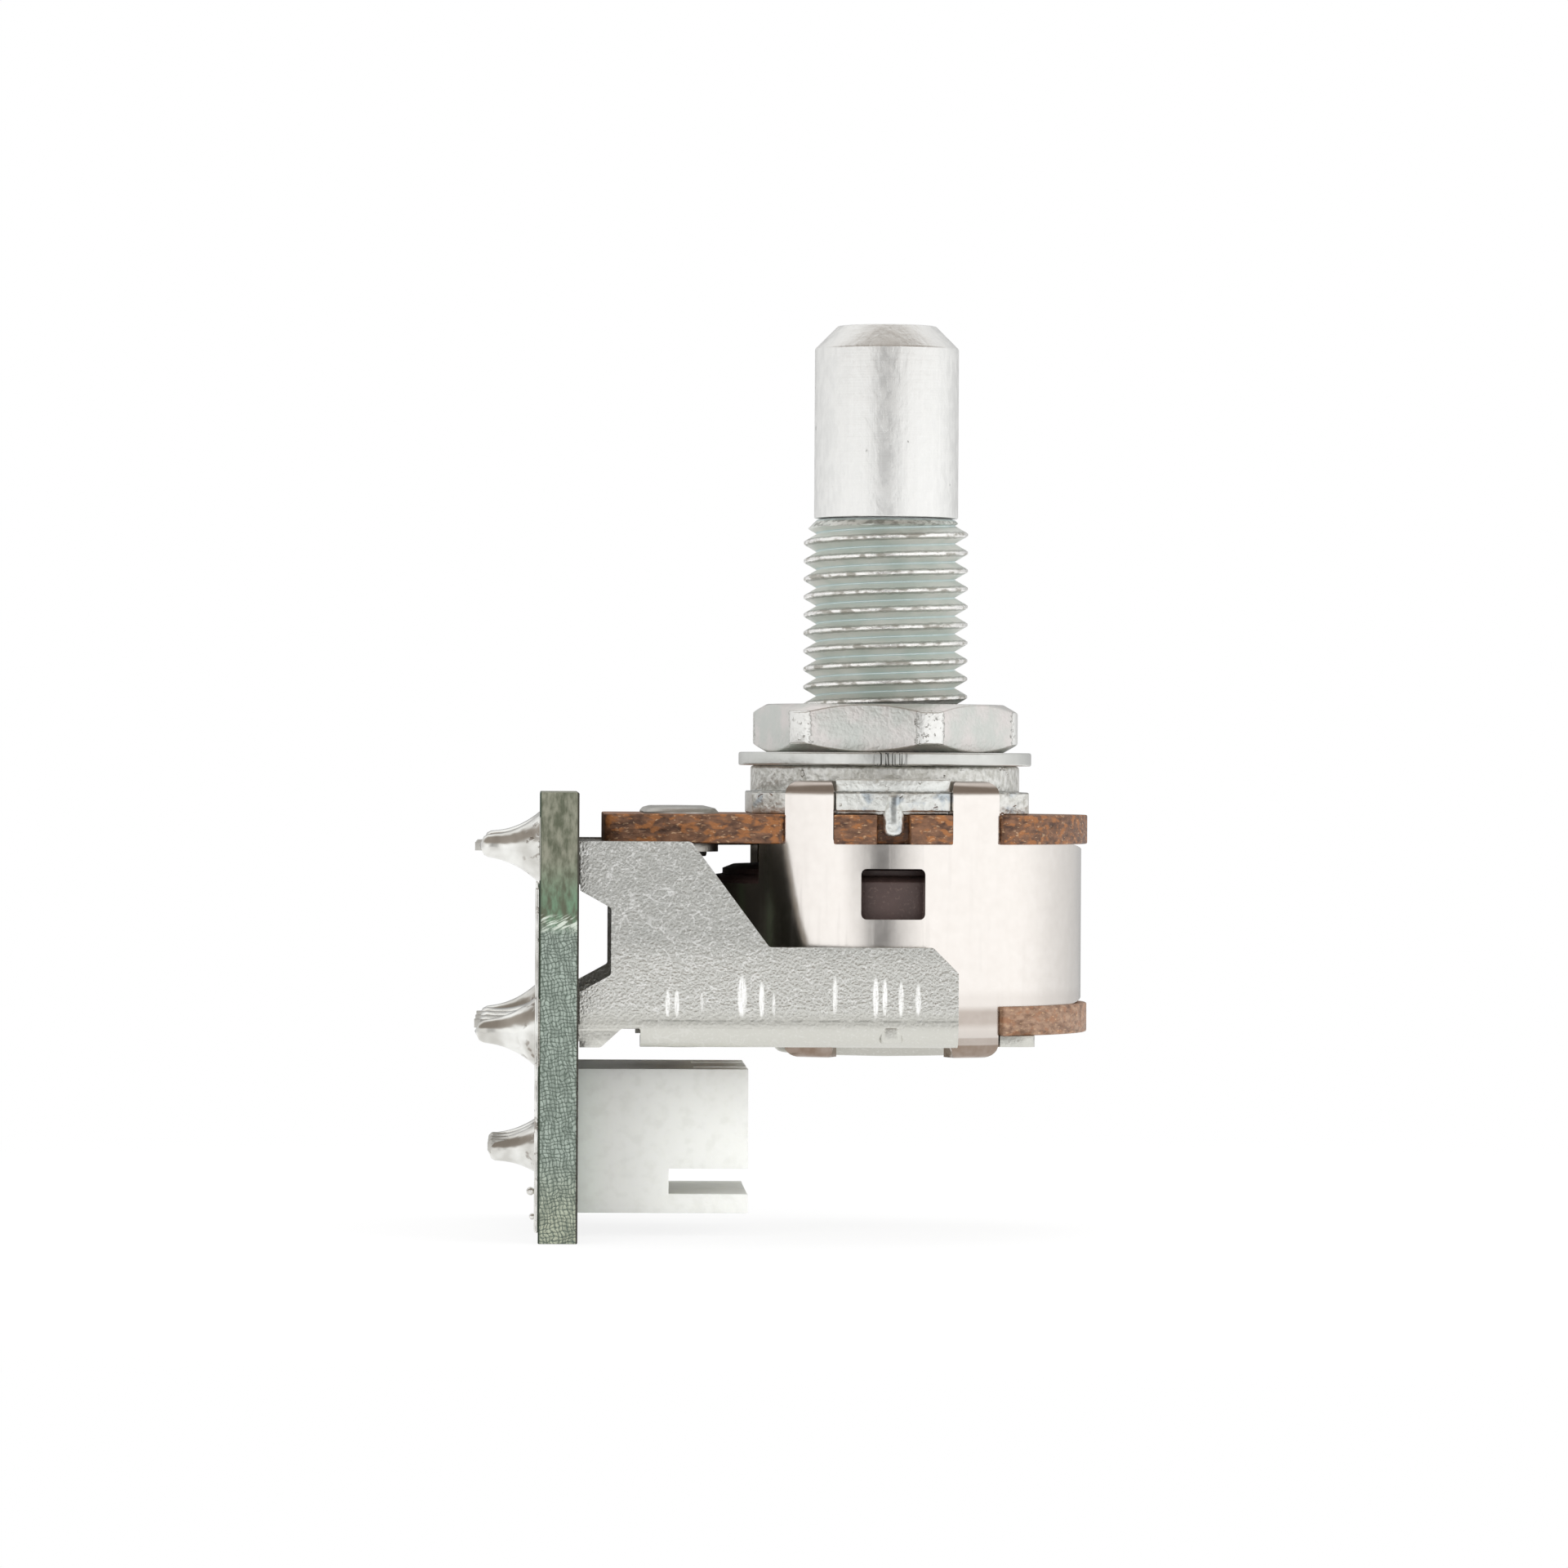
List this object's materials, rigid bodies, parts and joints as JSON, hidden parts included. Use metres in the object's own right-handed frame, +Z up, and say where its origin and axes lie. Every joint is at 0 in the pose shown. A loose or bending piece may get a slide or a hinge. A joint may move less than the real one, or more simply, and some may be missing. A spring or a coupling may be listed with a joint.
{
  "type": "potentiometer",
  "caption": "Dual-gang rotary potentiometer with threaded bushing, nut and washer, in a sheet-metal bracket soldered to an upright circuit board with a shrouded header.",
  "frame": {"origin": "centre of the cast face that seats against the panel, on the shaft's axis", "axes": "+Z up along the shaft, -X towards the circuit board, Y across the board's width"},
  "size_m": [0.0254, 0.02, 0.0376],
  "materials": {
    "shaft": "satin, turned",
    "die_cast": "zinc die casting, plated, slightly rough",
    "zinc_plate": "zinc plated",
    "steel": "bare pressed steel",
    "phenolic": "punched paper phenolic, brown",
    "phenolic_light": "punched paper phenolic, tan",
    "tinned": "tinned brass",
    "carbon": "printed carbon",
    "silver_ink": "printed conductor",
    "spring_brass": "rolled spring sheet",
    "rotor_plastic": "moulded, dark brown",
    "nickel_plate": "polished nickel plate",
    "bracket_steel": "satin plated sheet",
    "board_laminate": "woven glass laminate, green",
    "white_nylon": "moulded, white",
    "solder": "bright solder"
  },
  "bodies": {
    "housing": {"bushing_base": "die_cast", "hex_nut": "zinc_plate", "flat_washer": "zinc_plate", "upper_wafer": "phenolic", "lower_wafer": "phenolic_light", "upper_terminals": "tinned", "lower_terminals": "tinned", "upper_rivets": "tinned", "lower_rivets": "tinned", "upper_resistive_track": "carbon", "lower_resistive_track": "carbon", "upper_collector_ring": "silver_ink", "lower_collector_ring": "silver_ink", "shield": "nickel_plate", "bracket": "bracket_steel", "circuit_board": "board_laminate", "header_housing": "white_nylon", "header_pins": "tinned", "bracket_solder": "solder", "upper_terminal_solder": "solder", "lower_terminal_solder": "solder", "header_solder": "solder"},
    "rotor_shaft": {"shaft": "shaft", "stop_plate": "steel", "retaining_ring": "steel", "rotor": "rotor_plastic", "upper_wiper": "spring_brass", "lower_wiper": "spring_brass"}
  },
  "joints": [
    {"name": "shaft_turn", "type": "hinge", "parent": "housing", "child": "rotor_shaft", "pos_m": [0, 0, 0], "axis": [0, 0, 1], "range_deg": [-150, 150]}
  ]
}
